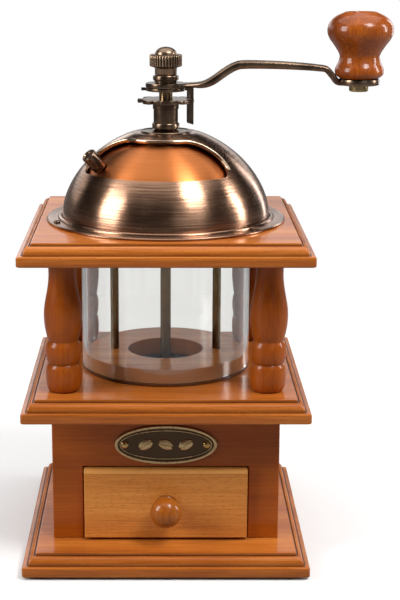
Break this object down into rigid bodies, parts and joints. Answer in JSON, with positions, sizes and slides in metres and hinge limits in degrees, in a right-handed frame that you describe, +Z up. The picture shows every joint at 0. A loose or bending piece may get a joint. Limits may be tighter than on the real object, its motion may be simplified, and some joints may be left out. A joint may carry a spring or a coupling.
{
  "type": "hand cranked coffee grinder",
  "caption": "Hand cranked coffee grinder with moulded wooden boards, glass hopper between turned posts, domed cover with turning lid, conical burrs and drawer.",
  "frame": {"origin": "centre of the underside of the felt pad that the grinder stands on", "axes": "+Z up along the spindle, -Y is the drawer front, the crank points to +X"},
  "size_m": [0.1941, 0.15, 0.2869],
  "materials": {
    "varnished_wood": "glossy varnish, orange brown",
    "honey_wood": "satin varnish, light honey brown",
    "inner_wood": "unfinished pale wood",
    "antique_bronze": "brushed antique bronze plating",
    "dark_bronze": "dark bronze",
    "satin_copper": "polished copper plating",
    "aged_brass": "aged brass",
    "cast_steel": "dark cast steel",
    "clear_glass": "clear polished glass",
    "soft_felt": "dark felt"
  },
  "bodies": {
    "housing": {"base_plinth": "varnished_wood", "mid_board": "varnished_wood", "hopper_floor": "varnished_wood", "top_board": "varnished_wood", "case_front": "varnished_wood", "case_rear": "varnished_wood", "case_left": "varnished_wood", "case_right": "varnished_wood", "post_front_left": "varnished_wood", "post_front_right": "varnished_wood", "post_rear_left": "varnished_wood", "post_rear_right": "varnished_wood", "drawer_runner_left": "inner_wood", "drawer_runner_right": "inner_wood", "dome_cover": "antique_bronze", "flange_screw_1": "antique_bronze", "flange_screw_2": "antique_bronze", "flange_screw_3": "antique_bronze", "neck_bush": "antique_bronze", "rod_bridge": "dark_bronze", "bush_nut": "dark_bronze", "oval_plate": "dark_bronze", "tie_rod_left": "aged_brass", "tie_rod_right": "aged_brass", "rod_top_nut_left": "aged_brass", "rod_top_nut_right": "aged_brass", "rod_bottom_nut_left": "aged_brass", "rod_bottom_nut_right": "aged_brass", "plate_pin_left": "aged_brass", "plate_pin_right": "aged_brass", "outer_burr": "cast_steel", "burr_screw_1": "cast_steel", "burr_screw_2": "cast_steel", "lower_bracket": "cast_steel", "bracket_screw_front": "cast_steel", "bracket_screw_rear": "cast_steel", "glass_hopper": "clear_glass", "felt_base_pad": "soft_felt"},
    "turning_set": {"star_nut": "antique_bronze", "spindle_spring": "cast_steel"},
    "crank_set": {"spindle": "aged_brass", "inner_burr": "cast_steel", "burr_nut": "aged_brass", "spring_collar": "aged_brass", "stopper_plate": "antique_bronze", "crank_arm": "antique_bronze", "handle_pin": "antique_bronze", "handle_pin_nut": "aged_brass"},
    "grip": {"handle_grip": "varnished_wood"},
    "cap_ring": {"cap_washer": "antique_bronze"},
    "cap_head": {"cap_nut": "antique_bronze"},
    "lid": {"inner_lid": "satin_copper", "lid_stud": "antique_bronze"},
    "drawer": {"drawer_front": "honey_wood", "drawer_side_left": "inner_wood", "drawer_side_right": "inner_wood", "drawer_back": "inner_wood", "drawer_bottom": "inner_wood", "drawer_knob": "varnished_wood", "drawer_knob_screw": "aged_brass"}
  },
  "joints": [
    {"name": "crank_spin", "type": "hinge", "parent": "housing", "child": "turning_set", "pos_m": [0, 0, 0], "axis": [0, 0, 1], "continuous": true},
    {"name": "grind_setting", "type": "slide", "parent": "turning_set", "child": "crank_set", "axis": [0, 0, 1], "range_m": [-0.001, 0.0005], "deforming": ["spindle_spring"]},
    {"name": "handle_spin", "type": "hinge", "parent": "crank_set", "child": "grip", "pos_m": [0.102, 0, 0.27], "axis": [0, 0, 1], "continuous": true},
    {"name": "cap_nut_rise", "type": "slide", "parent": "crank_set", "child": "cap_ring", "axis": [0, 0, 1], "range_m": [0, 0.00201]},
    {"name": "cap_nut_turn", "type": "hinge", "parent": "cap_ring", "child": "cap_head", "pos_m": [0, 0, 0.26], "axis": [0, 0, 1], "range_deg": [0, 720]},
    {"name": "lid_turn", "type": "hinge", "parent": "housing", "child": "lid", "pos_m": [0, 0, 0.22], "axis": [0, 0, 1], "range_deg": [-8, 98]},
    {"name": "drawer_slide", "type": "slide", "parent": "housing", "child": "drawer", "axis": [0, -1, 0], "range_m": [0, 0.07]}
  ],
  "couplings": [
    {"joint": "cap_nut_rise", "follows": "cap_nut_turn", "m_per_rad": 0.00015915}
  ]
}
